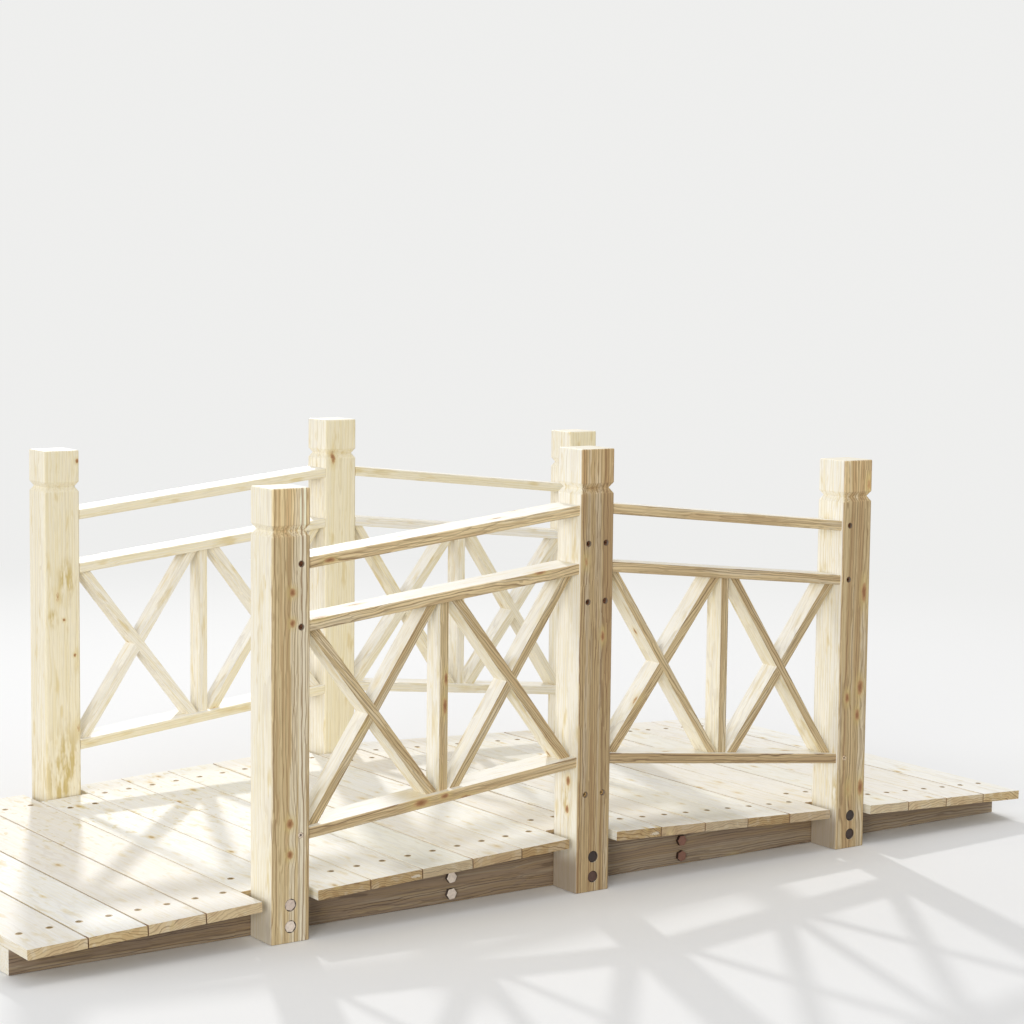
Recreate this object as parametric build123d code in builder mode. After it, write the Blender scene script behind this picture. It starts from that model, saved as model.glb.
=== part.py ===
"""Wooden garden footbridge with two railings, in millimetres.

X runs along the bridge, Y across it and Z up. The origin is on the ground, under the middle of the bridge.
"""

from math import atan2, cos, degrees, hypot, sin
import os

from build123d import *

# Deck boards, laid across the bridge. One short board lies behind each pair of posts.
board_width = 71.0
board_gap = 1.45
board_thickness = 12.0
board_edge = 1.5
deck_width = 670.0
ramp_boards = 4
bay_boards = 5
short_board_clearance = 2.0

# Stringers stand on the ground along their whole length, and their tops carry the deck.
stringer_thickness = 24.0
stringer_middle_height = 59.3
stringer_end_height = 29.0

# Inner timbers stand against the stringers and carry the short boards. The long one behind each
# middle post also splices the two halves of a stringer.
inner_thickness = 48.0
splice_length = 432.0
block_length = 71.0

# Posts stand outside the stringers, with a V neck cut all round under the cap.
post_width = 51.0
post_edge = 3.0
end_post_height = 527.0
middle_post_height = 557.0
neck_drop = 49.0
neck_half_height = 6.8
neck_depth = 4.5
cap_edge = 2.0

# Counterbores for two bolts near each post's foot, and blind pockets for the rail screws.
counterbore_diameter = 15.0
counterbore_depth = 6.0
post_bolt_heights = (18.5, 44.0)
screw_pocket_diameter = 7.0
screw_pocket_depth = 12.0
screw_pocket_inset = 12.2

# Rails climb from the end posts to the middle post. The handrail hangs below the posts' tops,
# the middle rail below the handrail, and the bottom rail stands over the ground at the end post.
rail_thickness = 13.0
rail_set_back = 3.0
rail_edge = 1.0
handrail_end_drop = 80.7
handrail_middle_drop = 69.2
middle_rail_drop = 72.8
bottom_rail_height = 131.0

# Braces cross in two panels of each bay, with an upright bar between the panels.
brace_thickness = 12.0
brace_depth = 28.0
brace_clearance = 3.0

# What follows from those sizes.
board_pitch = board_width + board_gap
post_board = bay_boards + 1
post_spacing = post_board * board_pitch
half_boards = post_board + ramp_boards
half_length = half_boards * board_pitch + board_width / 2
crest_half = board_pitch / 2
slope = (stringer_middle_height - stringer_end_height) / (half_length - crest_half)
slope_angle = atan2(slope, 1)

half_width = deck_width / 2
stringer_face = half_width - post_width
stringer_middle = stringer_face - stringer_thickness / 2
inner_middle = stringer_face - stringer_thickness - inner_thickness / 2
short_board_length = 2 * (stringer_face - short_board_clearance)

rail_depth = post_width - rail_set_back
rail_middle = half_width - rail_set_back - rail_depth / 2
handrail_height = end_post_height - handrail_end_drop
middle_rail_height = handrail_height - middle_rail_drop
rail_rise = middle_post_height - handrail_middle_drop - handrail_height
rail_span = post_spacing - post_width
rail_slope = rail_rise / rail_span
bay_middle = post_spacing / 2

SIDES = {"front": -1, "back": 1}
BAYS = {"left": -1, "right": 1}
POSTS = {"left": -1, "middle": 0, "right": 1}
RAILS = {"handrail": handrail_height, "middle_rail": middle_rail_height, "bottom_rail": bottom_rail_height}

os.makedirs("parts", exist_ok=True)


def finish(piece, name):
    """Name a finished piece and write it to its own file."""
    piece.part.label = name
    export_step(piece.part, f"parts/{name}.step")


def stringer_top(x):
    """Height of a stringer's top edge: level under the middle board, then a straight slope."""
    return stringer_middle_height - slope * max(0.0, abs(x) - crest_half)


def rail_top(height, x):
    """Height at x of the top of a rail whose top is at height where it meets the end post."""
    return height + rail_slope * (post_spacing - post_width / 2 - abs(x))


def cross_plane(y, x=0.0, z=0.0, lean=0.0):
    """A side-view plane through y, with its own x axis turned down by lean."""
    return Plane(origin=(x, y, z), x_dir=(cos(lean), 0, -sin(lean)), z_dir=(0, -1, 0))


def add_outline(points, y, amount, both=False, mode=Mode.ADD):
    """Extrude a side-view outline from the plane through y."""
    with BuildSketch(cross_plane(y)) as outline:
        with BuildLine():
            Polyline(*points, close=True)
        make_face()
    extrude(outline.sketch, amount=amount, both=both, mode=mode)


def add_timber(start, end, y, thickness):
    """Stand a timber under the deck from x = start to end, with the deck's slope on its top."""
    tops = [end, *(x for x in (crest_half, -crest_half) if start < x < end), start]
    corners = [(start, 0), (end, 0)] + [(x, stringer_top(x)) for x in tops]
    add_outline(corners, y, thickness / 2, both=True)


def add_board(number, length):
    """Lay one deck board on the stringers. Board 0 is the middle one."""
    x = number * board_pitch
    lean = slope_angle * (number > 0) - slope_angle * (number < 0)
    with BuildSketch(cross_plane(0, x, stringer_top(x), lean)) as profile:
        Rectangle(board_width, board_thickness, align=(Align.CENTER, Align.MIN))
        fillet(profile.vertices().sort_by(Axis.Z)[-2:], board_edge)
    extrude(profile.sketch, amount=length / 2, both=True)


# Deck
first_post, last_post = -post_board, post_board
DECK = {
    "left_ramp_boards": (range(-half_boards, first_post), deck_width),
    "left_post_board": ([first_post], short_board_length),
    "left_bay_boards": (range(first_post + 1, 0), deck_width),
    "middle_post_board": ([0], short_board_length),
    "right_bay_boards": (range(1, last_post), deck_width),
    "right_post_board": ([last_post], short_board_length),
    "right_ramp_boards": (range(last_post + 1, half_boards + 1), deck_width),
}
for name, (numbers, length) in DECK.items():
    with BuildPart() as boards:
        for number in numbers:
            add_board(number, length)
    finish(boards, name)

# Stringers, each in two halves that meet behind the middle post
for side, across in SIDES.items():
    for bay, along in BAYS.items():
        with BuildPart() as stringer:
            start, end = sorted((0, along * half_length))
            add_timber(start, end, across * stringer_middle, stringer_thickness)
        finish(stringer, f"{side}_{bay}_stringer")

# Splice boards, and blocks behind the end posts
for side, across in SIDES.items():
    with BuildPart() as splice:
        add_timber(-splice_length / 2, splice_length / 2, across * inner_middle, inner_thickness)
    finish(splice, f"{side}_splice_board")
    with BuildPart() as blocks:
        for x in (-post_spacing, post_spacing):
            add_timber(x - block_length / 2, x + block_length / 2, across * inner_middle, inner_thickness)
    finish(blocks, f"{side}_post_blocks")

# Posts, with the screw pockets level with the rails' middles at the end posts
pocket_x = post_width / 2 - screw_pocket_inset
pocket_heights = [height - rail_thickness / 2 for height in RAILS.values()]
for side, across in SIDES.items():
    outer_face = across * half_width
    for place, along in POSTS.items():
        height = end_post_height if along else middle_post_height
        x, y = along * post_spacing, across * (half_width - post_width / 2)
        neck = height - neck_drop
        neck_width = post_width - 2 * neck_depth
        pocket_sides = (-along,) if along else (-1, 1)
        with BuildPart() as post:
            with BuildSketch(Plane((x, y, 0))):
                RectangleRounded(post_width, post_width, post_edge)
            extrude(amount=neck - neck_half_height)
            for low, high in ((-neck_half_height, 0.0), (0.0, neck_half_height)):
                for level in (low, high):
                    width = neck_width if level == 0 else post_width
                    with BuildSketch(Plane((x, y, neck + level))):
                        RectangleRounded(width, width, post_edge)
                loft(ruled=True)
            with BuildSketch(Plane((x, y, neck + neck_half_height))):
                RectangleRounded(post_width, post_width, post_edge)
            extrude(amount=neck_drop - neck_half_height)
            fillet(post.faces().sort_by(Axis.Z)[-1].edges(), cap_edge)
            face = Plane((x, outer_face, 0), x_dir=(1, 0, 0), z_dir=(0, across, 0))
            with BuildSketch(face):
                with Locations(*[(0, -across * z) for z in post_bolt_heights]):
                    Circle(counterbore_diameter / 2)
            extrude(amount=-counterbore_depth, mode=Mode.SUBTRACT)
            with BuildSketch(face):
                for turn in pocket_sides:
                    with Locations(*[(turn * pocket_x, -across * z) for z in pocket_heights]):
                        Circle(screw_pocket_diameter / 2)
            extrude(amount=-screw_pocket_depth, mode=Mode.SUBTRACT)
        finish(post, f"{side}_{place}_post")


def add_rail(along, y, height):
    """Add one rail of a bay, cut plumb where it meets its two posts."""
    inner, outer = post_width / 2, post_spacing - post_width / 2
    with BuildSketch(cross_plane(y)) as profile:
        with BuildLine():
            Polyline(
                (along * inner, rail_top(height, inner) - rail_thickness),
                (along * outer, rail_top(height, outer) - rail_thickness),
                (along * outer, rail_top(height, outer)),
                (along * inner, rail_top(height, inner)),
                close=True,
            )
        make_face()
    extrude(profile.sketch, amount=rail_depth / 2, both=True)


for side, across in SIDES.items():
    for bay, along in BAYS.items():
        for rail_name, height in RAILS.items():
            with BuildPart() as rail:
                add_rail(along, across * rail_middle, height)
                chamfer(rail.edges().sort_by(SortBy.LENGTH)[-4:], rail_edge)
            finish(rail, f"{side}_{bay}_{rail_name}")


def panel_low(x):
    """Top of the bottom rail at x."""
    return rail_top(bottom_rail_height, x)


def panel_high(x):
    """Underside of the middle rail at x."""
    return rail_top(middle_rail_height, x) - rail_thickness


def brace_outline(start, end, direction):
    """Corners of a brace in the panel from x = start to end, rising with x if direction is 1."""
    half_foot = brace_thickness / 2
    # The foot's width depends on the brace's slope, which depends on where its foot stands.
    for _ in range(6):
        inset = brace_clearance + half_foot
        foot, head = (start + inset, end - inset)[::direction]
        climb = panel_high(head) - panel_low(foot)
        half_foot = brace_thickness / 2 * hypot(climb, head - foot) / climb
    return [
        (foot - half_foot, panel_low(foot - half_foot)),
        (foot + half_foot, panel_low(foot + half_foot)),
        (head + half_foot, panel_high(head + half_foot)),
        (head - half_foot, panel_high(head - half_foot)),
    ]


def bay_panels(along):
    """The two panels of a bay, each from a post to the upright bar, in order of x."""
    bar = brace_thickness / 2
    edges = (post_width / 2, bay_middle - bar, bay_middle + bar, post_spacing - post_width / 2)
    edges = sorted(along * edge for edge in edges)
    return [edges[:2], edges[2:]]


# Braces are halved into each other: the falling one shows on the front, the rising one behind.
for side, across in SIDES.items():
    y = across * rail_middle
    for bay, along in BAYS.items():
        for name, direction, lap in (("rising", 1, 1), ("falling", -1, -1)):
            with BuildPart() as braces:
                for start, end in bay_panels(along):
                    add_outline(brace_outline(start, end, direction), y, brace_depth / 2, both=True)
                for start, end in bay_panels(along):
                    other = brace_outline(start, end, -direction)
                    add_outline(other, y, lap * brace_depth / 2, mode=Mode.SUBTRACT)
            finish(braces, f"{side}_{bay}_{name}_braces")
        with BuildPart() as bar:
            left, right = (along * bay_middle + turn * brace_thickness / 2 for turn in (-1, 1))
            foot_corners = [(x, panel_low(x)) for x in (left, right)]
            head_corners = [(x, panel_high(x)) for x in (right, left)]
            add_outline(foot_corners + head_corners, y, brace_depth / 2, both=True)
        finish(bar, f"{side}_{bay}_upright_bar")

print("length", round(2 * half_length, 2), "slope in degrees", round(degrees(slope_angle), 3))
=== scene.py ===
"""The looks of a wooden garden footbridge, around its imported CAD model.

Metres, Z up, the bridge along X and its near side towards -Y. The bridge's own sizes and the sizes
in its materials are in millimetres.
"""

from functools import reduce
from math import atan, cos, pi, radians, sin, tan

import bmesh
import bpy
from mathutils import Matrix, Vector


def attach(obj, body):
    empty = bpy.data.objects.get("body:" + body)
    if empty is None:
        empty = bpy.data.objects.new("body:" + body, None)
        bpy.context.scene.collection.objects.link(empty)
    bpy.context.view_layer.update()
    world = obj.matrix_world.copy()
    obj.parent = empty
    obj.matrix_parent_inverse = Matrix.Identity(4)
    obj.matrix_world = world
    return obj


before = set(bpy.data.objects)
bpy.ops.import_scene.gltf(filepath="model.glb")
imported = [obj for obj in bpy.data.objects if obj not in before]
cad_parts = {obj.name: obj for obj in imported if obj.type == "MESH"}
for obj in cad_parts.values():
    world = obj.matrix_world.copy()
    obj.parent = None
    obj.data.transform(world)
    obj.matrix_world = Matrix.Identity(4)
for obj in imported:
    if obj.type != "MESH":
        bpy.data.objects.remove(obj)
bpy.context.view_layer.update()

# The bridge's own sizes, as in its CAD, in millimetres.
board_width = 71.0
board_pitch = 72.45
board_thickness = 12.0
boards_each_side = 10
post_board = 6
half_width = 335.0
stringer_thickness = 24.0
stringer_middle_height = 59.3
stringer_end_height = 29.0
post_width = 51.0
end_post_height = 527.0
middle_post_height = 557.0
neck_drop = 49.0
rail_thickness = 13.0
rail_set_back = 3.0
rail_rise = 41.5
rail_tops = (446.3, 373.5, 131.0)
post_bolt_heights = (18.5, 44.0)
counterbore_diameter = 15.0
counterbore_depth = 6.0
pocket_diameter = 7.0
pocket_depth = 12.0
pocket_inset = 12.2

# Sizes of what is only made here. Screws in short boards sit further in than in the others.
bolt_flats = 12.6
bolt_head_height = 4.8
splice_bolt_heights = (11.4, 32.0)
splice_bolt_boards = 2.5
screw_diameter = 6.6
screw_height = 0.45
screw_scatter = 0.9
short_board_step = 48.0
deep_screw = 3.2
shallow_screw = 0.9
# How much painted light the deck screws take, from 0 for painted shade to 1.
deck_screw_painted_light = 0.6

# What follows from those sizes.
crest_half = board_pitch / 2
half_length = boards_each_side * board_pitch + board_width / 2
deck_slope = (stringer_middle_height - stringer_end_height) / (half_length - crest_half)
post_spacing = post_board * board_pitch
post_middle = half_width - post_width / 2
bay_middle = post_spacing / 2
rail_middle = half_width - rail_set_back - (post_width - rail_set_back) / 2
rail_slope = rail_rise / (post_spacing - post_width)
stringer_face = half_width - post_width
stringer_middle = stringer_face - stringer_thickness / 2
pocket_offset = post_width / 2 - pocket_inset
pocket_heights = [top - rail_thickness / 2 for top in rail_tops]

# Colours are linear. Faces that look out sideways show a brown figure, which is partly painted shade, and
# the others are pale, partly from painted light.
PALE = (0.90, 0.81, 0.57)
# The colour of painted light on upper faces and on faces that look along the bridge, and of faded pieces.
FADE_AND_PAINTED_LIGHT = (0.93, 0.91, 0.855)
YELLOW = (0.80, 0.68, 0.34)
OCHRE = (0.70, 0.54, 0.20)
DEEP_STAIN = (0.60, 0.45, 0.14)
TAN = (0.80, 0.64, 0.36)
DARK_TAN = (0.56, 0.42, 0.22)
SAPWOOD = (0.92, 0.84, 0.64)
HEARTWOOD = (0.55, 0.36, 0.17)
UMBER = (0.42, 0.29, 0.125)
LATE = (0.29, 0.165, 0.068)
DEEP = (0.55, 0.46, 0.38)
END_GRAIN = (0.66, 0.48, 0.24)
KNOT = (0.30, 0.125, 0.045)
KNOT_RIM = (0.56, 0.34, 0.15)

# Painted shade on the posts' feet, painted light on their caps, and painted shade inside their holes.
FOOT_SHADE = (0.26, 0.17, 0.09)
CAP_LIGHT = (0.20, 0.20, 0.19)
HOLE_SHADE = (0.075, 0.03, 0.012)

# The deck's knots, tinted boards, what marks some of its places, and painted shade in its seams.
DECK_KNOT = (0.46, 0.27, 0.10)
DECK_KNOT_RIM = (0.74, 0.57, 0.29)
ROSY_BOARD = (0.72, 0.60, 0.46)
GREENISH_BOARD = (0.84, 0.85, 0.70)
DECK_SPOT = (0.64, 0.51, 0.19)
FILLER = (0.88, 0.84, 0.72)
SEAM_SHADE = (0.56, 0.42, 0.26)
SEAM_END_SHADE = (0.30, 0.14, 0.05)
SCREW_RING = (0.50, 0.33, 0.10)

# Painted shade in the heads' recesses and on the sides of bolt heads.
RECESS_SHADE = (0.02, 0.015, 0.01)
HEAD_SIDE_SHADE = (0.035, 0.018, 0.012)

# The room, as it is seen and as it lights the bridge, and the floor likewise.
ROOM = (0.86, 0.86, 0.85, 1.0)
ROOM_LIGHT = (0.97, 0.98, 1.0, 1.0)
FLOOR = (0.88, 0.875, 0.865)
FLOOR_LIGHT = (0.45, 0.43, 0.41)

# The relief of all woods. Its depth is in millimetres.
bump_strength = 0.3
bump_depth = 0.3


def millimetres(*values):
    """Millimetres as metres."""
    return [value / 1000 for value in values]


class Signal:
    """One output socket of a node tree. Arithmetic on it adds Math nodes."""

    def __init__(self, tree, socket):
        self.tree = tree
        self.socket = socket

    def __add__(self, other):
        return self.tree.math("ADD", self, other)

    def __sub__(self, other):
        return self.tree.math("SUBTRACT", self, other)

    def __rsub__(self, other):
        return self.tree.math("SUBTRACT", other, self)

    def __mul__(self, other):
        return self.tree.math("MULTIPLY", self, other)

    def __truediv__(self, other):
        return self.tree.math("DIVIDE", self, other)

    def __rtruediv__(self, other):
        return self.tree.math("DIVIDE", other, self)

    __radd__ = __add__
    __rmul__ = __mul__


class Tree:
    """A material's or a Geometry Nodes group's tree while it is being built."""

    def __init__(self, tree):
        self.tree = tree

    def add(self, kind, settings=None, values=None, out=0):
        """Add a node with its settings, then its sockets' values or links, and give one output."""
        node = self.tree.nodes.new(kind)
        for key, setting in (settings or {}).items():
            setattr(node, key, setting)
        for key, value in (values or {}).items():
            if isinstance(value, Signal):
                self.tree.links.new(value.socket, node.inputs[key])
            else:
                node.inputs[key].default_value = value
        return Signal(self, node.outputs[out]) if node.outputs else None

    def math(self, operation, *operands):
        return self.add("ShaderNodeMath", {"operation": operation}, dict(enumerate(operands)))

    def vector(self, operation, *operands, out=0):
        return self.add("ShaderNodeVectorMath", {"operation": operation}, dict(enumerate(operands)), out)

    def join(self, x, y, z):
        return self.add("ShaderNodeCombineXYZ", values={0: x, 1: y, 2: z})

    def split(self, vector):
        node = self.add("ShaderNodeSeparateXYZ", values={0: vector}).socket.node
        return [Signal(self, socket) for socket in node.outputs]

    def distance(self, x, y):
        """How far (x, y) is from (0, 0)."""
        return self.vector("LENGTH", self.join(x, y, 0.0), out="Value")

    def unsigned(self, value):
        return self.math("ABSOLUTE", value)

    def sign(self, value):
        return self.math("SIGN", value)

    def above(self, value, limit):
        """1 where a value is over its limit, else 0."""
        return self.math("GREATER_THAN", value, limit)

    def below(self, value, limit):
        """1 where a value is under its limit, else 0."""
        return self.math("LESS_THAN", value, limit)

    def least(self, *values):
        return reduce(lambda first, second: self.math("MINIMUM", first, second), values)

    def most(self, *values):
        return reduce(lambda first, second: self.math("MAXIMUM", first, second), values)

    def smooth(self, value, low, high):
        """0 at low and 1 at high, with a smooth step between."""
        settings = {"interpolation_type": "SMOOTHSTEP"}
        return self.add("ShaderNodeMapRange", settings, {0: value, 1: low, 2: high, 3: 0.0, 4: 1.0})

    def fall(self, value, low, high):
        """1 at low and 0 at high, with a smooth step between."""
        return 1.0 - self.smooth(value, low, high)

    def blend(self, share, first, second, how="MIX"):
        """Mix two colours. A Mix node takes colours at inputs 6 and 7 and gives one at output 2."""
        settings = {"data_type": "RGBA", "blend_type": how}
        colours = {6: first, 7: second}
        values = {key: (*c, 1.0) if isinstance(c, tuple) else c for key, c in colours.items()}
        return self.add("ShaderNodeMix", settings, {0: share, **values}, out=2)

    def noise(self, vector, detail=1.0, roughness=0.5):
        settings = {"noise_dimensions": "3D"}
        values = {"Vector": vector, "Scale": 1.0, "Detail": detail, "Roughness": roughness}
        return self.add("ShaderNodeTexNoise", settings, values)


class Surface(Tree):
    """A material whose colours follow the object's own coordinates, in millimetres."""

    def __init__(self, name):
        self.material = bpy.data.materials.new(name)
        self.material.use_nodes = True
        super().__init__(self.material.node_tree)
        self.tree.nodes.clear()
        coordinates = self.add("ShaderNodeTexCoord", out="Object")
        self.place = self.vector("MULTIPLY", coordinates, (1000.0,) * 3)
        self.x, self.y, self.z = self.split(self.place)
        self.normal = self.split(Signal(self, coordinates.socket.node.outputs["Normal"]))

    def patches(self, scale, detail):
        """Noise over the surface, with scale in spots for each millimetre along X, Y and Z."""
        return self.noise(self.vector("MULTIPLY", self.place, scale), detail)

    def finish(self, colour, roughness, height=None, **fixed):
        """End the material in one Principled shader."""
        values = {"Base Color": colour, "Roughness": roughness}
        if height is not None:
            values["Normal"] = self.add(
                "ShaderNodeBump",
                values={"Strength": bump_strength, "Distance": bump_depth / 1000, "Height": height},
            )
        values.update({key.replace("_", " "): value for key, value in fixed.items()})
        shader = self.add("ShaderNodeBsdfPrincipled", values=values)
        self.add("ShaderNodeOutputMaterial", values={0: shader})
        return self.material


# What one kind of piece's timber is like, with sizes in millimetres.
# ring is the pitch of the rings, and pith how far beside and behind the piece their pith may lie.
# bands is the width and length of pale and dark bands, and band_share how strong they are.
# knots is their pitch across and along, and the share of places that have one.
# bleach, fading and stained are how white painted light makes the upper faces, how white whole pieces may
# be and how common stains are. upward is how far a face looks up where that painted light starts and
# where it is full.
# tan is the brown figure's ground, which is mixed for each piece where it is None, and late its lines.
# knot_colours are a knot's rim and its middle.
ANY_TIMBER = {
    "band_share": 0.6,
    "painted_top_light": 0.6,
    "fading": 0.3,
    "stained": 0.0,
    "upward": (0.5, 0.95),
    "tan": None,
    "late": LATE,
    "knot_colours": (KNOT_RIM, KNOT),
}
TIMBERS = {
    "post": {"ring": 4.7, "pith": (34, 30), "bands": (10, 600), "knots": (26, 62, 0.16)},
    "rail": {
        "ring": 3.3, "pith": (20, 26), "bands": (7, 260), "band_share": 0.45, "knots": (30, 80, 0.30),
        "painted_top_light": 0.95, "fading": 0.9, "stained": 0.06,
        "tan": (0.90, 0.72, 0.415), "late": (0.23, 0.13, 0.053),
    },
    "brace": {
        "ring": 3.1, "pith": (18, 22), "bands": (6, 260), "band_share": 0.4, "knots": (26, 60, 0.30),
        "painted_top_light": 0.95, "upward": (0.2, 0.6), "fading": 0.8, "stained": 0.05,
        "late": (0.22, 0.125, 0.05),
    },
    "deck": {
        "ring": 3.6, "pith": (36, 84), "bands": (14, 300), "knots": (24, 50, 0.34),
        "painted_top_light": 1.0, "stained": 0.03,
        "late": (0.24, 0.13, 0.05), "knot_colours": (DECK_KNOT_RIM, DECK_KNOT),
    },
    # The stringers' dark brown is partly painted shade, as they lie under the deck's overhang.
    "stringer": {
        "ring": 3.5, "pith": (30, 14), "bands": (12, 500), "band_share": 0.12, "knots": (40, 90, 0.3),
        "tan": (0.31, 0.225, 0.15), "late": (0.10, 0.062, 0.036),
    },
}

# What single pieces show. darkness, from 0 to 1, is how dark their brown figure is. stripe is the
# place across and the width of a pale stripe in it. A knot or a stain is (face, across, along, width,
# length): the axis that its face looks along, its middle's place across and along the grain, as the
# piece's wood function counts them, and its size.
MARKS = {
    "front_left_post": {
        "darkness": 0.0,
        "stripe": (16.0, 9.5),
        "knots": (
            ("y", 1.7, 407.4, 8.0, 10.0),
            ("y", 1.8, 372.1, 7.0, 9.0),
            ("y", -1.1, 139.5, 9.0, 12.0),
            ("y", -1.0, 103.2, 8.0, 10.0),
        ),
        "stains": (("y", -18.2, 198.7, 16.0, 40.0),),
    },
    "front_middle_post": {
        "darkness": 0.6,
        "knots": (("x", -5.3, 139.7, 8.0, 12.0), ("x", -4.0, 103.8, 7.0, 10.0)),
        "stains": (("x", -2.0, 120.0, 30.0, 90.0),),
    },
    "front_right_post": {
        "darkness": 0.3,
        "knots": (
            ("y", 15.0, 348.4, 9.0, 26.0),
            ("y", 12.2, 219.2, 10.0, 22.0),
            ("y", 8.0, 181.2, 8.0, 16.0),
            ("y", -11.0, 206.3, 7.0, 15.0),
            ("y", 16.9, 81.2, 9.0, 22.0),
        ),
        "stains": (("x", -24.0, 80.0, 24.0, 60.0), ("x", 10.0, 360.0, 24.0, 70.0)),
    },
    "back_left_post": {
        "darkness": 0.1,
        "knots": (
            ("y", 22.2, 512.4, 5.0, 6.0),
            ("y", 17.2, 248.8, 4.0, 5.0),
            ("y", 1.5, 297.9, 4.0, 4.0),
        ),
        "stains": (
            ("y", 2.0, 86.0, 80.0, 170.0),
            ("y", -14.0, 300.0, 22.0, 34.0),
            ("y", 6.0, 350.0, 34.0, 80.0),
        ),
    },
    "front_left_handrail": {"knots": (("y", -17.1, -382.0, 6.0, 14.0),)},
    "front_left_bottom_rail": {
        "knots": (("y", -30.3, -255.0, 9.0, 20.0), ("y", -29.5, -221.0, 6.0, 12.0)),
    },
    "front_left_upright_bar": {
        "knots": (("y", 215.4, 254.0, 6.0, 20.0), ("y", 214.3, 287.0, 5.0, 16.0)),
    },
}


class Timber:
    """Planed softwood: where its knots, rings, bands and stains lie on a surface, and their colours.

    along runs with the grain, and across and deep square to it. piece is a vector that differs from
    piece to piece. knots, stains and stripe are marks of one piece, as in MARKS.
    """

    def __init__(self, s, kind, along, across, deep, piece, knots=(), stains=(), stripe=None):
        self.s = s
        self.look = {**ANY_TIMBER, **TIMBERS[kind]}
        self.along, self.across, self.deep = along, across, deep
        # Each piece is cut from another place of one endless timber, whose rings bend and ripple.
        draw = s.add("ShaderNodeTexWhiteNoise", {"noise_dimensions": "3D"}, {0: piece}, out="Color")
        self.draws = s.split(draw)
        elsewhere = s.vector("MULTIPLY", draw, (137.0,) * 3)
        self.inside = s.vector("ADD", s.join(across, deep, along), elsewhere)
        self.bend = self.drawn_out(40.0, 190.0) - 0.5
        self.ripple = self.drawn_out(9.0, 34.0) - 0.5
        self.knot = self.grow_knots(knots)
        self.late = self.grow_rings()
        self.lay_figure(stripe)
        self.spread_stains(stains)
        self.roughness = 0.52 - self.late * 0.08 + (self.fibre - 0.5) * 0.15
        self.height = self.late * 0.5 + self.fibre * 0.5

    def scaled(self, place, thick, long):
        """A place in the timber in units of thick across the grain and of long along it."""
        return self.s.vector("MULTIPLY", place, (1 / thick, 1 / thick, 1 / long))

    def drawn_out(self, thick, long, detail=1.0, roughness=0.5, place=None):
        """Noise that is drawn out along the grain."""
        return self.s.noise(self.scaled(place or self.inside, thick, long), detail, roughness)

    def nearest_mark(self, first, marks):
        """The least of first and the distances to some marks, each 1 at the mark's edge."""
        nearest = first
        for face, across, along, width, length in marks:
            sideways = self.across if face == "y" else self.deep
            away = self.s.distance((sideways - across) / (width / 2), (self.along - along) / (length / 2))
            nearest = self.s.least(nearest, away)
        return nearest

    def grow_knots(self, knots):
        """0 in the middle of a branch that grew through the piece, and 1 at its edge."""
        s = self.s
        thick, long, share = self.look["knots"]
        cells = s.add(
            "ShaderNodeTexVoronoi",
            {"voronoi_dimensions": "3D"},
            {"Vector": self.scaled(self.inside, thick, long), "Scale": 1.0, "Randomness": 0.8},
        )
        chance, girth, _ = s.split(Signal(s, cells.socket.node.outputs["Color"]))
        none_here = s.above(chance, share) * 9.0
        knot = cells / (girth * 0.10 + 0.06) + none_here
        return self.nearest_mark(knot, knots) + (self.drawn_out(1.6, 4.0) - 0.5) * 0.7

    def grow_rings(self):
        """The share of dark late wood, in rings round a pith beside the piece and round its knots."""
        s = self.s
        first, second, third = self.draws
        spread, away = self.look["pith"]
        pith_across = (first - 0.5) * (2.0 * spread)
        pith_deep = (second * 0.9 + 0.5) * away
        from_pith = s.distance(self.across - pith_across, self.deep + pith_deep)
        # Knots push the rings aside, and some rings are wider than others.
        push = 5.0 / (self.knot * self.knot * 0.30 + 1.0)
        radius = from_pith + self.bend * 13.0 + self.ripple * 4.0 + push
        uneven = s.noise(s.join(radius / 13.0, third * 31.0, 0.0))
        rings = radius / self.look["ring"] + uneven * 2.6
        number = s.math("FLOOR", rings)
        part = rings - number
        strength = s.add(
            "ShaderNodeTexWhiteNoise",
            {"noise_dimensions": "1D"},
            {1: number + third * 53.0},
        )
        return s.smooth(part, 0.52, 0.90) * s.fall(part, 0.93, 1.0) * (strength * 0.7 + 0.3)

    def lay_figure(self, stripe):
        """Bands of sapwood and heartwood, streaks, thin lines and fibre, which wave with the rings."""
        s = self.s
        wave = self.bend * 14.0 + self.ripple * 4.5
        waved = s.vector("ADD", self.inside, s.join(wave, wave * 0.6, 0.0))
        band = self.drawn_out(*self.look["bands"], place=waved)
        self.sapwood = s.fall(band, 0.38, 0.45)
        self.heartwood = s.smooth(band, 0.55, 0.61)
        if stripe:
            middle, width = stripe
            beside = s.unsigned(self.across + wave * 0.6 - middle) / (width / 2)
            self.sapwood = s.most(self.sapwood, s.fall(beside, 0.8, 1.2) * 1.5)
        self.streak = s.smooth(self.drawn_out(2.0, 200.0, 2.0, 0.6, waved), 0.45, 0.63)
        self.thin_line = s.smooth(self.drawn_out(1.1, 150.0, 1.0, 0.5, waved), 0.56, 0.66)
        self.fibre = self.drawn_out(0.8, 34.0, 2.0, 0.6, waved)

    def spread_stains(self, stains):
        """Light stains all over, and deep ones where the piece is marked."""
        s = self.s
        self.stain = s.smooth(self.drawn_out(11.0, 44.0, 2.0), 0.60 - self.look["stained"], 0.74)
        marked = s.fall(self.nearest_mark(9.0, stains), 0.3, 1.1) if stains else 0.0
        self.deep_stain = s.smooth(self.drawn_out(6.5, 30.0, 3.0, 0.6), 0.40, 0.63) * marked

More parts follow.
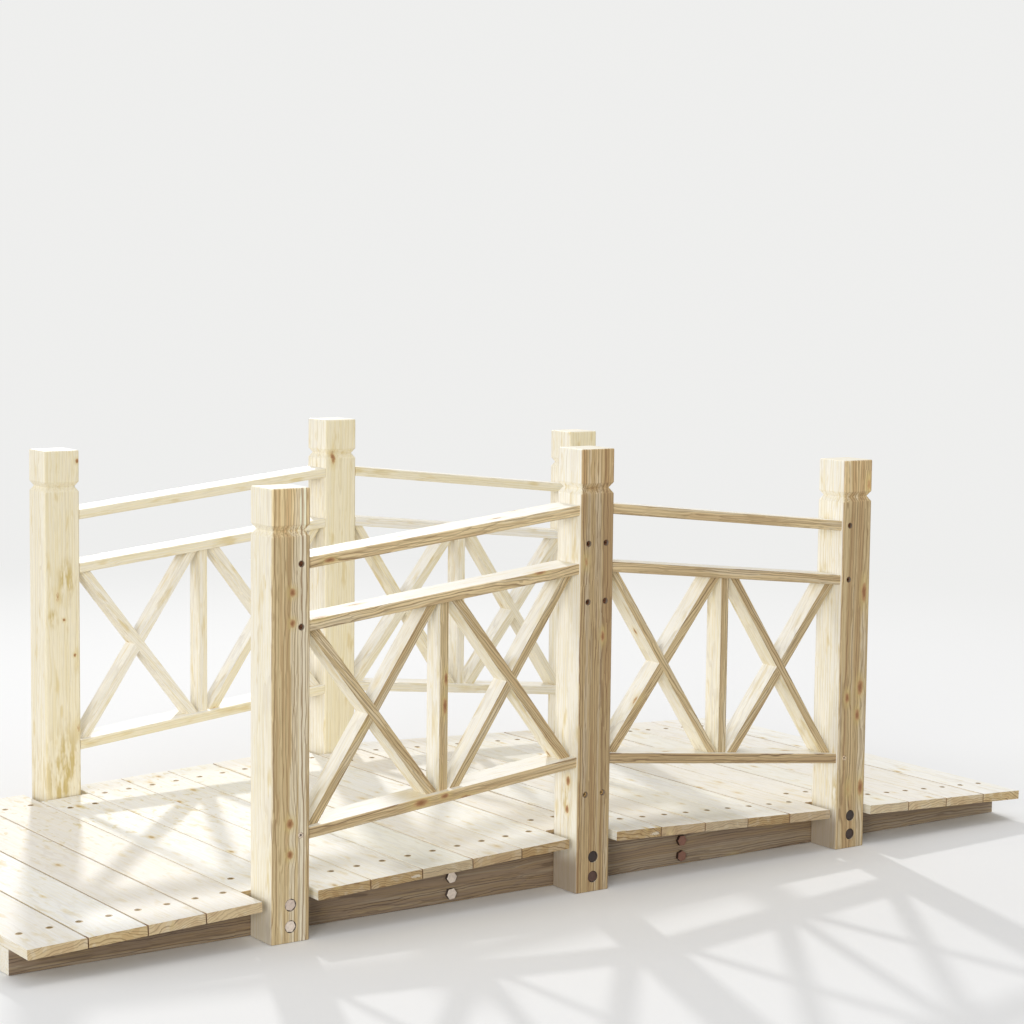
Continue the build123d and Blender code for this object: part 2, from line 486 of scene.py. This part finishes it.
    def pale_wood(self):
        """The wood's colour where its brown figure doesn't show, whitened by painted light on upper faces
        and on faces that look along the bridge, and by fading on some whole pieces.
        """
        s, look = self.s, self.look
        first, _, third = self.draws
        up = s.smooth(s.normal[2], *look["upward"])
        sideways = sideways_share(s) * (0.9 - third * 0.5)
        # Painted light on upper faces and on faces that look along the bridge, and fading of whole
        # pieces.
        light_and_fade_share = s.most(up * look["painted_top_light"], sideways, first * look["fading"])
        pale = s.blend(light_and_fade_share, PALE, FADE_AND_PAINTED_LIGHT)
        # Streaks and stains are fainter under the painted light on upper faces.
        pale = s.blend(self.streak * (0.40 - up * 0.18), pale, YELLOW)
        pale = s.blend(self.stain * (0.55 - up * 0.15), pale, OCHRE)
        return s.blend(self.deep_stain * 0.85, pale, DEEP_STAIN)

    def brown_wood(self, cut_share, darkness):
        """The ground of the brown figure, with its bands, streaks and thin lines."""
        s, look = self.s, self.look
        lengthwise = 1.0 - cut_share
        brown = look["tan"] or s.blend(self.draws[2] * 0.4, TAN, DARK_TAN)
        brown = s.blend(self.heartwood * look["band_share"], brown, HEARTWOOD)
        brown = s.blend(self.sapwood * look["band_share"], brown, SAPWOOD)
        brown = s.blend(self.streak * 0.42 * lengthwise, brown, UMBER)
        brown = s.blend(self.thin_line * 0.45 * lengthwise, brown, look["late"])
        brown = s.blend(cut_share * 0.4, brown, END_GRAIN)
        return s.blend(darkness, brown, DEEP, "MULTIPLY")

    def colour(self, figure_and_shade_share, cut_share, darkness=0.0):
        """The timber's colour.

        figure_and_shade_share is 1 on faces with a strong brown figure, which stands partly for painted
        shade where faces look out, and cut_share is 1 on end grain. darkness, from 0 to 1, darkens the
        brown figure.
        """
        s, look = self.s, self.look
        rim_colour, knot_colour = look["knot_colours"]
        line = s.blend(darkness, look["late"], DEEP, "MULTIPLY")
        colour = s.blend(figure_and_shade_share, self.pale_wood(), self.brown_wood(cut_share, darkness))
        colour = s.blend(self.late * (figure_and_shade_share * 0.82 + 0.12), colour, line)
        colour = s.blend(s.fall(self.knot, 0.8, 2.8) * 0.45, colour, OCHRE)
        colour = s.blend(s.fall(self.knot, 0.75, 1.25), colour, rim_colour)
        colour = s.blend(s.fall(self.knot, 0.20, 1.0) * 0.9, colour, knot_colour)
        shade = self.fibre * 0.24 + 0.88
        return s.blend(1.0, colour, s.join(shade, shade, shade), "MULTIPLY")


def sideways_share(s):
    """1 on faces that look along the bridge."""
    return s.smooth(s.unsigned(s.normal[0]), 0.5, 0.95)


def outward_shade_share(s, inner=0.0):
    """The share of the brown figure, which stands partly for painted shade: 1 on faces that look out from
    the bridge's long sides, and about inner on those that look in.
    """
    facing = s.normal[1] * s.sign(s.y)
    out = s.smooth(facing, 0.3, 0.8)
    inward = s.smooth(facing * -1.0, 0.3, 0.8)
    return out * 0.95 + inward * inner + 0.05


def end_share(s, axis):
    """1 on faces that are cut across the grain, which runs along an axis."""
    return s.smooth(s.unsigned(s.normal[axis]), 0.7, 0.95)


def hole_shade_share(s, across, place):
    """The share of painted shade: 1 inside a post's counterbores and screw pockets, and less on the rims
    of the deep pockets.

    place is -1, 0 or 1 for the left, middle or right post. An end post has pockets on one side only,
    and the screws in its bottom ones lie so shallow that no rim is dark.
    """
    margin = 0.5
    shallow = 0.4
    over_bottom_pockets = 200.0
    depth = half_width - s.unsigned(s.y)
    behind = s.above(depth, shallow) * s.below(depth, pocket_depth + margin)
    in_face = s.below(s.unsigned(depth), shallow) * s.below(across * place, 0.5)

    def from_holes(offset, heights):
        """Distance from the nearest axis of holes that lie at offset to either side of the middle."""
        off_height = s.least(*[s.unsigned(s.z - height) for height in heights])
        return s.distance(s.unsigned(across) - offset, off_height)

    pocket_radius = pocket_diameter / 2
    from_bore = from_holes(0.0, post_bolt_heights)
    from_pocket = from_holes(pocket_offset, pocket_heights)
    in_bore = s.below(from_bore, counterbore_diameter / 2 + margin)
    in_pocket = s.below(from_pocket, pocket_radius + margin)
    bottom_pocket = s.below(s.z, over_bottom_pockets) * s.unsigned(place)
    rim = s.fall(from_pocket, pocket_radius, pocket_radius + 1.1) * (1.0 - bottom_pocket)
    return s.most(s.most(in_bore, in_pocket) * behind, rim * in_face * 0.9)


def post_wood(name, darkness=0.25, **marks):
    """Posts, with painted shade on the foot, painted light on the cap and brown painted shade in the
    holes. across counts from each post's middle.
    """
    s = Surface(name)
    place = s.math("ROUND", s.x / post_spacing)
    side = s.sign(s.y)
    across = s.x - place * post_spacing
    deep = s.y - side * post_middle
    # The brown figure on outward faces is partly painted shade.
    figure_and_shade_share = outward_shade_share(s)
    wood = Timber(s, "post", s.z, across, deep, s.join(place, side, 3.0), **marks)
    colour = wood.colour(figure_and_shade_share, end_share(s, 2), darkness)
    # Painted shade near the foot on faces that look along the bridge, darkest on the middle post.
    foot_shade = s.fall(s.z, 30.0, 62.0) * sideways_share(s)
    colour = s.blend(foot_shade * (0.7 - s.unsigned(place) * 0.2 + place * 0.17), colour, FOOT_SHADE)
    neck = middle_post_height - neck_drop
    level = s.z + s.unsigned(place) * (middle_post_height - end_post_height)
    # Painted light on the outward faces of the caps.
    cap = s.smooth(level, neck - 16.0, neck + 10.0)
    colour = s.blend(cap * figure_and_shade_share, colour, CAP_LIGHT, "DODGE")
    # Painted shade inside the holes and round the deep pockets.
    colour = s.blend(hole_shade_share(s, across, place) * 0.75, colour, HOLE_SHADE)
    return s.finish(colour, wood.roughness, wood.height)


def rail_wood(name, **marks):
    """Rails, whose levels are 5, 4 and 2 in whole hundreds of millimetres. across counts from those."""
    s = Surface(name)
    side = s.sign(s.y)
    level = s.z + s.unsigned(s.x) * rail_slope
    rail = s.math("ROUND", level / 100.0)
    across = level - rail * 100.0
    deep = s.y - side * rail_middle
    wood = Timber(s, "rail", s.x, across, deep, s.join(s.sign(s.x) * 2.0, side, rail), **marks)
    darkness = (5.0 - rail) * 0.12 + s.above(s.x, 0.0) * 0.2
    # The brown figure on outward faces is partly painted shade.
    colour = wood.colour(outward_shade_share(s), end_share(s, 0), darkness)
    return s.finish(colour, wood.roughness, wood.height)


def brace_wood(name, lean, **marks):
    """Braces and upright bars. lean is their angle to the X axis, in radians."""
    s = Surface(name)
    side = s.sign(s.y)
    along = s.x * cos(lean) + s.z * sin(lean)
    across = s.z * cos(lean) - s.x * sin(lean)
    deep = s.y - side * rail_middle
    panel = s.above(s.unsigned(s.x), bay_middle) + s.sign(s.x) * 5.0
    wood = Timber(s, "brace", along, across, deep, s.join(panel, side, 7.0 + lean), **marks)
    # The brown figure on outward faces is partly painted shade.
    colour = wood.colour(outward_shade_share(s), 0.0, darkness=0.1)
    return s.finish(colour, wood.roughness, wood.height)


def stringer_wood(name):
    """Stringers, dark partly from painted shade, on their inner faces too, and the inner timbers."""
    s = Surface(name)
    side = s.sign(s.y)
    deep = s.y - side * stringer_middle
    wood = Timber(s, "stringer", s.x, s.z, deep, s.join(s.sign(s.x), side, 19.0))
    colour = wood.colour(outward_shade_share(s, inner=0.7), end_share(s, 0))
    return s.finish(colour, wood.roughness, wood.height)


def tint_boards(s, colour, draws):
    """Some boards are a little rosy and some a little green."""
    first, second, _ = draws
    colour = s.blend(s.smooth(first, 0.5, 0.95) * 0.22, colour, ROSY_BOARD)
    return s.blend(s.smooth(second, 0.5, 0.9) * 0.20, colour, GREENISH_BOARD)


def spot_boards(s, colour, cut):
    """Yellow spots, most of them at the back on the left."""
    back_left = s.smooth(s.y, -80.0, 120.0) * s.fall(s.x, -330.0, -120.0)
    spots = s.smooth(s.patches((0.11, 0.055, 0.1), 2.0), 0.60, 0.68)
    return s.blend(spots * (1.0 - cut) * (back_left * 0.42 + 0.1), colour, DECK_SPOT)


def fill_ends(s, colour):
    """Pale filler on two boards' near ends, at x and z."""
    near_end = s.below(s.y, 0.5 - half_width)
    rough = s.patches((0.4,) * 3, 2.0) * 2.2
    for x, z, width, height in ((-263.0, 54.8, 15.0, 3.4), (99.5, 61.2, 15.0, 4.6)):
        away = s.distance((s.x - x) / (width / 2), (s.z - z) / (height / 2))
        colour = s.blend(s.fall(away + rough, 1.6, 2.3) * near_end * 0.55, colour, FILLER)
    return colour


def shade_seams(s, colour, from_post):
    """Painted shade: the boards' side faces are brown where boards meet, and most of all at the boards'
    ends.
    """
    reach = s.unsigned(s.x)
    sideways = s.unsigned(s.y)
    beside_post = s.below(from_post, 40.0) * s.above(sideways, stringer_face - 1.0)
    in_seam = s.below(reach, half_length - 5.0) * (1.0 - beside_post)
    # Painted shade on side faces that lie in a seam.
    seam_shade = sideways_share(s) * in_seam
    colour = s.blend(seam_shade * 0.4, colour, SEAM_SHADE)
    board_end = s.smooth(sideways, half_width - 17.0, half_width - 5.0)
    return s.blend(seam_shade * board_end * 0.8, colour, SEAM_END_SHADE)


def ring_screws(s, colour, across, from_post):
    """A brown ring in the wood round each deck screw."""
    short_board = s.below(from_post, board_pitch / 2)
    row = stringer_middle - short_board * short_board_step
    from_screw = s.distance(s.unsigned(across) - board_pitch / 4, s.unsigned(s.y) - row)
    return s.blend(s.fall(from_screw, 3.9, 5.0) * 0.75, colour, SCREW_RING)


def deck_wood(name):
    """Boards across the bridge, each from another place in the timber."""
    s = Surface(name)
    number = s.math("ROUND", s.x / board_pitch)
    across = s.x - number * board_pitch
    reach = s.unsigned(s.x)
    from_post = s.least(reach, s.unsigned(reach - post_spacing))
    wood = Timber(s, "deck", s.y, across, s.z + reach * deck_slope, s.join(number, 11.0, 0.0))
    cut = end_share(s, 1)
    colour = wood.colour(cut, cut, s.below(reach, post_spacing) * 0.6)
    colour = tint_boards(s, colour, wood.draws)
    colour = spot_boards(s, colour, cut)
    colour = fill_ends(s, colour)
    colour = shade_seams(s, colour, from_post)
    colour = ring_screws(s, colour, across, from_post)
    return s.finish(colour, wood.roughness + 0.08, wood.height, Specular_IOR_Level=0.25)


# Plated steel: its colours with full painted light, in between and in painted shade, its roughness, how
# metallic it is, and how much painted shade darkens the sides of its heads.
METALS = {
    "Bolt metal": ((0.96, 0.84, 0.72), (0.30, 0.15, 0.105), (0.055, 0.04, 0.034), 0.38, 0.45, 0.9),
    "Deck screw metal": ((0.36, 0.23, 0.07), (0.22, 0.14, 0.04), (0.14, 0.08, 0.03), 0.5, 0.3, 0.0),
    "Rail screw metal": ((0.97, 0.82, 0.66), (0.97, 0.62, 0.22), (0.22, 0.085, 0.035), 0.5, 0.25, 0.0),
}


def metal(name):
    """A metal, from dull to bright by its shine attribute, the level of painted light on each head, with
    painted shade where its recess attribute is 1 and on the sides of its heads.
    """
    bright, middling, dull, roughness, metallic, side_shade = METALS[name]
    s = Surface(name)
    painted_light = s.add("ShaderNodeAttribute", {"attribute_name": "painted_light"}, out="Fac")
    recess = s.add("ShaderNodeAttribute", {"attribute_name": "recess"}, out="Fac")
    patches = s.smooth(s.patches((0.4,) * 3, 3.0), 0.35, 0.7)
    # Painted light and painted shade, by each head's level.
    colour = s.blend(s.least(painted_light * 2.0, 1.0), dull, middling)
    colour = s.blend(s.most(painted_light * 2.0 - 1.0, 0.0), colour, bright)
    colour = s.blend(patches * 0.15, colour, dull)
    # Painted shade on the sides of the heads.
    side = s.fall(s.unsigned(s.normal[1]), 0.4, 0.8)
    colour = s.blend(side * side_shade, colour, HEAD_SIDE_SHADE)
    # Painted shade in the recesses, less on heads with more painted light.
    colour = s.blend(recess * (0.9 - painted_light * 0.75), colour, RECESS_SHADE)
    return s.finish(colour, patches * 0.15 + roughness, Metallic=metallic)


def dress(node, material):
    """Give a CAD node its material."""
    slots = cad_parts[node].data.materials
    slots.clear()
    slots.append(material)


def make_braces():
    """The braces' woods. A brace that climbs as its bay's rails do is steeper than the other one."""
    middling = atan(211.0 / 165.0)
    steep, gentle = middling + 0.04, middling - 0.07
    leans = {
        ("left", "rising"): steep,
        ("left", "falling"): -gentle,
        ("right", "rising"): gentle,
        ("right", "falling"): -steep,
    }
    return {(bay, way): brace_wood(f"Brace wood {bay} {way}", lean) for (bay, way), lean in leans.items()}


def dress_all():
    """Give each CAD node its wood. A piece with marks of its own has a wood of its own."""
    posts = post_wood("Post wood")
    rails = rail_wood("Rail wood")
    bars = brace_wood("Upright bar wood", pi / 2)
    deck = deck_wood("Deck wood")
    stringers = stringer_wood("Stringer wood")
    braces = make_braces()
    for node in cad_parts:
        marks = MARKS.get(node)
        own_name = f"Wood of {node}"
        if node.endswith("_post"):
            dress(node, post_wood(own_name, **marks) if marks else posts)
        elif node.endswith("rail"):
            dress(node, rail_wood(own_name, **marks) if marks else rails)
        elif node.endswith("_bar"):
            dress(node, brace_wood(own_name, pi / 2, **marks) if marks else bars)
        elif node.endswith("_braces"):
            _, bay, way, _ = node.split("_")
            dress(node, braces[bay, way])
        elif "board" in node and "splice" not in node:
            dress(node, deck)
        else:
            dress(node, stringers)


def join_rings(mesh, rings):
    """Join rings of as many corners each into a skin, and give the rings' vertices."""
    made = [[mesh.verts.new(corner) for corner in ring] for ring in rings]
    for lower, upper in zip(made, made[1:]):
        for i in range(len(lower)):
            j = (i + 1) % len(lower)
            mesh.faces.new((lower[i], lower[j], upper[j], upper[i]))
    return made


def hex_head(name, flats, height, corners=24):
    """A bolt head with its axis up, its underside at 0 and its corners chamfered at the top."""
    half = flats / 2
    crown = 1.11 * half
    chamfer_angle = radians(35)
    walls, edges, tops = [], [], []
    for i in range(corners):
        angle = 2 * pi * i / corners
        reach = half / cos((angle + pi / 6) % (pi / 3) - pi / 6)
        top_reach = min(0.98 * reach, crown)
        edge = height - (reach - top_reach) * tan(chamfer_angle)
        walls.append((reach * cos(angle), reach * sin(angle), 0.0))
        edges.append((reach * cos(angle), reach * sin(angle), edge))
        tops.append((top_reach * cos(angle), top_reach * sin(angle), height))
    mesh = bmesh.new()
    made = join_rings(mesh, [walls, edges, tops])
    mesh.faces.new(made[2])
    mesh.faces.new(made[0][::-1])
    return finished_head(name, mesh)


def cross_head(name, diameter, proud, corners=24):
    """A screw head with a cross recess, its rim's foot at 0."""
    radius = diameter / 2
    arm, half = 0.56 * radius, 0.13 * radius
    turns = [2 * pi * i / corners for i in range(corners)]
    rims = [
        [(reach * cos(a), reach * sin(a), level) for a in turns]
        for reach, level in ((radius, -proud), (radius, 0.5 * proud), (0.90 * radius, proud))
    ]
    cross = []
    for quarter in range(4):
        for x, y in ((arm, -half), (arm, half), (half, half)):
            turned = Matrix.Rotation(quarter * pi / 2, 2) @ Vector((x, y))
            cross.append((turned.x, turned.y, proud))
    mesh = bmesh.new()
    outer = join_rings(mesh, rims)
    floor = [(x, y, 0.12 * proud) for x, y, _ in cross]
    inner = join_rings(mesh, [floor, cross])
    mesh.faces.new(inner[0])
    mesh.faces.new(outer[0][::-1])
    top_edges = []
    for ring in (outer[2], inner[1]):
        top_edges += [mesh.edges.get((ring[i - 1], ring[i])) for i in range(len(ring))]
    bmesh.ops.bridge_loops(mesh, edges=top_edges)
    return finished_head(name, mesh, inner[0])


def finished_head(name, mesh, low=()):
    """A head's object, with its recess attribute 1 on the vertices in low."""
    mesh.verts.index_update()
    deep = {vertex.index for vertex in low}
    data = bpy.data.meshes.new(name)
    bmesh.ops.recalc_face_normals(mesh, faces=mesh.faces)
    mesh.to_mesh(data)
    mesh.free()
    recess = data.attributes.new("recess", "FLOAT", "POINT")
    for i, value in enumerate(recess.data):
        value.value = float(i in deep)
    return bpy.data.objects.new(name, data)


def random_value(t, data_type, low, high, seed):
    """A Random Value node's output between low and high, whose sockets differ with the type of data."""
    node = t.add("FunctionNodeRandomValue", {"data_type": data_type}, {"Seed": seed}).socket.node
    low_input, output = {"FLOAT_VECTOR": (0, 0), "FLOAT": (2, 1)}[data_type]
    node.inputs[low_input].default_value = low
    node.inputs[low_input + 1].default_value = high
    return Signal(t, node.outputs[output])


def heads_tree(name):
    """A Geometry Nodes group that sets a head on every point, each turned and shifted a little."""
    group = bpy.data.node_groups.new(name, "GeometryNodeTree")
    inputs = (
        ("Points", "NodeSocketGeometry"),
        ("Head", "NodeSocketObject"),
        ("Size", "NodeSocketFloat"),
        ("Turn", "NodeSocketFloat"),
        ("Shift", "NodeSocketFloat"),
        ("Seed", "NodeSocketInt"),
        ("Finish", "NodeSocketMaterial"),
    )
    for label, kind in inputs:
        group.interface.new_socket(label, in_out="INPUT", socket_type=kind)
    group.interface.new_socket("Heads", in_out="OUTPUT", socket_type="NodeSocketGeometry")
    t = Tree(group)
    given = t.add("NodeGroupInput").socket.node
    points, head, size, turn, shift, seed, finish = [Signal(t, socket) for socket in given.outputs[:7]]
    slide = random_value(t, "FLOAT_VECTOR", (-1.0, -1.0, 0.0), (1.0, 1.0, 0.0), seed)
    offset = t.vector("MULTIPLY", slide, t.join(shift, shift, 0.0))
    moved = t.add("GeometryNodeSetPosition", values={"Geometry": points, "Offset": offset})
    lie = t.add("GeometryNodeInputNamedAttribute", {"data_type": "FLOAT_VECTOR"}, {"Name": "lie"})
    mesh = t.add("GeometryNodeObjectInfo", values={"Object": head}, out="Geometry")
    placed = t.add(
        "GeometryNodeInstanceOnPoints",
        values={"Points": moved, "Instance": mesh, "Rotation": lie, "Scale": t.join(size, size, size)},
    )
    spin = random_value(t, "FLOAT", 0.0, 1.0, seed + 1.0)
    turned = t.add(
        "GeometryNodeRotateInstances",
        values={"Instances": placed, "Rotation": t.join(0.0, 0.0, spin * turn), "Local Space": True},
    )
    real = t.add("GeometryNodeRealizeInstances", values={"Geometry": turned})
    dressed = t.add("GeometryNodeSetMaterial", values={"Geometry": real, "Material": finish})
    t.add("NodeGroupOutput", values={0: dressed})
    return group


def set_heads(name, tree, places, head, material, slot, size=1.0, shift=0.0, seed=1):
    """Make one piece of heads, one for each (place, lie, shine), in metres and radians, where shine is
    how much painted light the head takes.
    """
    data = bpy.data.meshes.new(name + " points")
    data.from_pydata([place for place, _, _ in places], [], [])
    data.attributes.new("lie", "FLOAT_VECTOR", "POINT")
    data.attributes.new("painted_light", "FLOAT", "POINT")
    for i, (_, lie, painted_light) in enumerate(places):
        data.attributes["lie"].data[i].vector = lie
        data.attributes["painted_light"].data[i].value = painted_light
    points = bpy.data.objects.new(name + " points", data)
    bpy.context.scene.collection.objects.link(points)
    bpy.context.scene.collection.objects.link(head)
    modifier = points.modifiers.new("Heads", "NODES")
    modifier.node_group = tree
    given = {"Head": head, "Size": size, "Turn": 2 * pi, "Shift": shift, "Seed": seed, "Finish": material}
    for item in tree.interface.items_tree:
        if item.in_out == "INPUT" and item.name in given:
            modifier[item.identifier] = given[item.name]
    depsgraph = bpy.context.evaluated_depsgraph_get()
    mesh = bpy.data.meshes.new_from_object(points.evaluated_get(depsgraph))
    mesh.name = name
    points.modifiers.remove(modifier)
    piece = bpy.data.objects.new(name, mesh)
    bpy.context.scene.collection.objects.link(piece)
    bpy.data.objects.remove(points)
    bpy.context.scene.collection.objects.unlink(head)
    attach(piece, "root")


def facing(side):
    """The turn that makes a head's axis look out of the near side (-1) or the far side (1)."""
    return (-side * pi / 2, 0.0, 0.0)


def deck_screw_places():
    """Two screws in each board's width, in a row on each side, and square to the sloping deck."""
    tilt = atan(deck_slope)
    places = []
    for i in range(2 * (2 * boards_each_side + 1)):
        x = (i - 2 * boards_each_side - 0.5) * board_pitch / 2
        down = max(0.0, abs(x) - crest_half)
        rise = board_thickness / cos(tilt) if down else board_thickness
        z = stringer_middle_height + rise - deck_slope * down
        lie = (0.0, tilt * ((x > 0) - (x < 0)) if down else 0.0, 0.0)
        short_board = round(abs(x) / board_pitch) in (0, post_board)
        row = stringer_middle - short_board_step * short_board
        places += [(millimetres(x, side * row, z), lie, deck_screw_painted_light) for side in (-1, 1)]
    return places


def post_bolt_places(side):
    """Two bolts in each post's counterbores, with painted light that makes them bright on the left and
    painted shade that makes them dark on the right.
    """
    y = side * (half_width - counterbore_depth)
    return [
        (millimetres(along * post_spacing, y, z), facing(side), painted_light)
        for along, painted_lights in ((-1, (1.0, 0.85)), (0, (0.15, 0.0)), (1, (0.03, 0.0)))
        for z, painted_light in zip(post_bolt_heights, painted_lights)
    ]


def splice_bolt_places(side):
    """Two bolts on the stringer near each end of its splice board, with more painted light on the left
    end.
    """
    reach = splice_bolt_boards * board_pitch
    return [
        (millimetres(along * reach, side * stringer_face, z), facing(side), painted_light)
        for along, painted_light in ((-1, 1.0), (1, 0.5))
        for z in splice_bolt_heights
    ]


def rail_screw_places(side):
    """A screw in each pocket. Painted light makes them bright in the bottom ones and painted shade dark
    in the others, and they are shallow there in the end posts.
    """
    places = []
    for along in (-1, 0, 1):
        for turn in (-along,) if along else (-1, 1):
            for z in pocket_heights:
                bottom = z == pocket_heights[-1]
                painted_light = bottom * (0.9 - 0.1 * along if along else 0.35)
                y = side * (half_width - (shallow_screw if bottom and along else deep_screw))
                place = millimetres(along * post_spacing + turn * pocket_offset, y, z)
                places.append((place, facing(side), painted_light))
    return places


def add_fasteners():
    """The screws and bolts that the CAD model leaves out."""
    tree = heads_tree("Heads on points")
    bolt = hex_head("hex head", *millimetres(bolt_flats, bolt_head_height))
    screw = cross_head("cross head", *millimetres(screw_diameter, screw_height))
    bolts = (bolt, metal("Bolt metal"), "bolt_metal")
    deck_screws = (screw, metal("Deck screw metal"), "screw_metal")
    rail_screws = (screw, metal("Rail screw metal"), "screw_metal")
    set_heads("deck_screws", tree, deck_screw_places(), *deck_screws, shift=screw_scatter / 1000, seed=4)
    for side, word in ((-1, "front"), (1, "back")):
        set_heads(f"{word}_post_bolts", tree, post_bolt_places(side), *bolts, seed=8 + side)
        set_heads(f"{word}_splice_bolts", tree, splice_bolt_places(side), *bolts, seed=12 + side)
        in_rails = rail_screw_places(side)
        set_heads(f"{word}_rail_screws", tree, in_rails, *rail_screws, size=0.98, seed=16 + side)


def point_camera():
    """The photograph's view, fitted to the bridge's corners."""
    place = (-1.8092, -2.7438, 0.7825)
    yaw, pitch, roll = radians(34.8875), radians(5.7847), radians(0.63377)
    data = bpy.data.cameras.new("Camera")
    data.lens = 86.022
    data.sensor_width = 36.0
    camera = bpy.data.objects.new("Camera", data)
    ahead = Vector((sin(yaw) * cos(pitch), cos(yaw) * cos(pitch), -sin(pitch)))
    level = Vector((cos(yaw), -sin(yaw), 0.0))
    up = level.cross(ahead)
    right = cos(roll) * level + sin(roll) * up
    top = cos(roll) * up - sin(roll) * level
    turn = Matrix((right, top, -ahead)).transposed()
    camera.matrix_world = Matrix.Translation(place) @ turn.to_4x4()
    bpy.context.scene.collection.objects.link(camera)
    bpy.context.scene.camera = camera


def lamp(name, place, power, size, target_height=0.3):
    """A round lamp that looks at the middle of the bridge."""
    data = bpy.data.lights.new(name, "AREA")
    data.energy = power
    data.shape = "DISK"
    data.size = size
    light = bpy.data.objects.new(name, data)
    light.location = place
    away = Vector(place) - Vector((0.0, 0.0, target_height))
    light.rotation_euler = away.to_track_quat("Z", "Y").to_euler()
    bpy.context.scene.collection.objects.link(light)


def seen_share(t):
    """1 for what the camera sees, also in metal or through glass, and 0 for light on the bridge."""
    path = t.add("ShaderNodeLightPath").socket.node
    camera, glossy, clear = [
        Signal(t, path.outputs[f"Is {ray} Ray"]) for ray in ("Camera", "Glossy", "Transmission")
    ]
    return t.least(camera + (glossy + clear), 1.0)


def light_studio():
    """A small lamp behind on the right, large weak ones above and on the left, and an even pale room."""
    lamp("Key", (2.5, 6.6, 4.3), 235.0, 0.35, target_height=0.2)
    lamp("Top", (0.9, -0.5, 7.0), 95.0, 4.0, target_height=0.2)
    lamp("Left front", (-7.8, -6.9, 2.0), 420.0, 4.0)
    lamp("Left back", (-8.5, 5.0, 2.4), 200.0, 4.0)
    world = bpy.data.worlds.new("Studio")
    world.use_nodes = True
    t = Tree(world.node_tree)
    world.node_tree.nodes.clear()
    lit = t.add("ShaderNodeBackground", values={0: ROOM_LIGHT, 1: 0.55})
    seen = t.add("ShaderNodeBackground", values={0: ROOM, 1: 1.0})
    mixed = t.add("ShaderNodeMixShader", values={0: seen_share(t), 1: lit, 2: seen})
    t.add("ShaderNodeOutputWorld", values={0: mixed})
    bpy.context.scene.world = world


def lay_floor():
    """A pale floor just under the bridge, which fades into the room with distance."""
    half_size = 30.0
    gap = 0.0005
    mesh = bmesh.new()
    bmesh.ops.create_grid(mesh, x_segments=8, y_segments=8, size=half_size)
    data = bpy.data.meshes.new("floor")
    mesh.to_mesh(data)
    mesh.free()
    floor = bpy.data.objects.new("floor", data)
    floor.location.z = -gap
    bpy.context.scene.collection.objects.link(floor)
    s = Surface("Floor")
    seen = seen_share(s)
    colour = s.blend(seen, FLOOR_LIGHT, FLOOR)
    shader = s.add("ShaderNodeBsdfPrincipled", values={"Base Color": colour, "Roughness": 0.9})
    glow = s.add("ShaderNodeEmission", values={0: ROOM, 1: 1.0})
    far = s.smooth(s.vector("LENGTH", s.place, out="Value"), 900.0, 3200.0)
    mixed = s.add("ShaderNodeMixShader", values={0: far * seen, 1: shader, 2: glow})
    s.add("ShaderNodeOutputMaterial", values={0: mixed})
    data.materials.append(s.material)


bpy.context.scene.view_settings.view_transform = "Standard"
point_camera()
light_studio()
lay_floor()
dress_all()
add_fasteners()
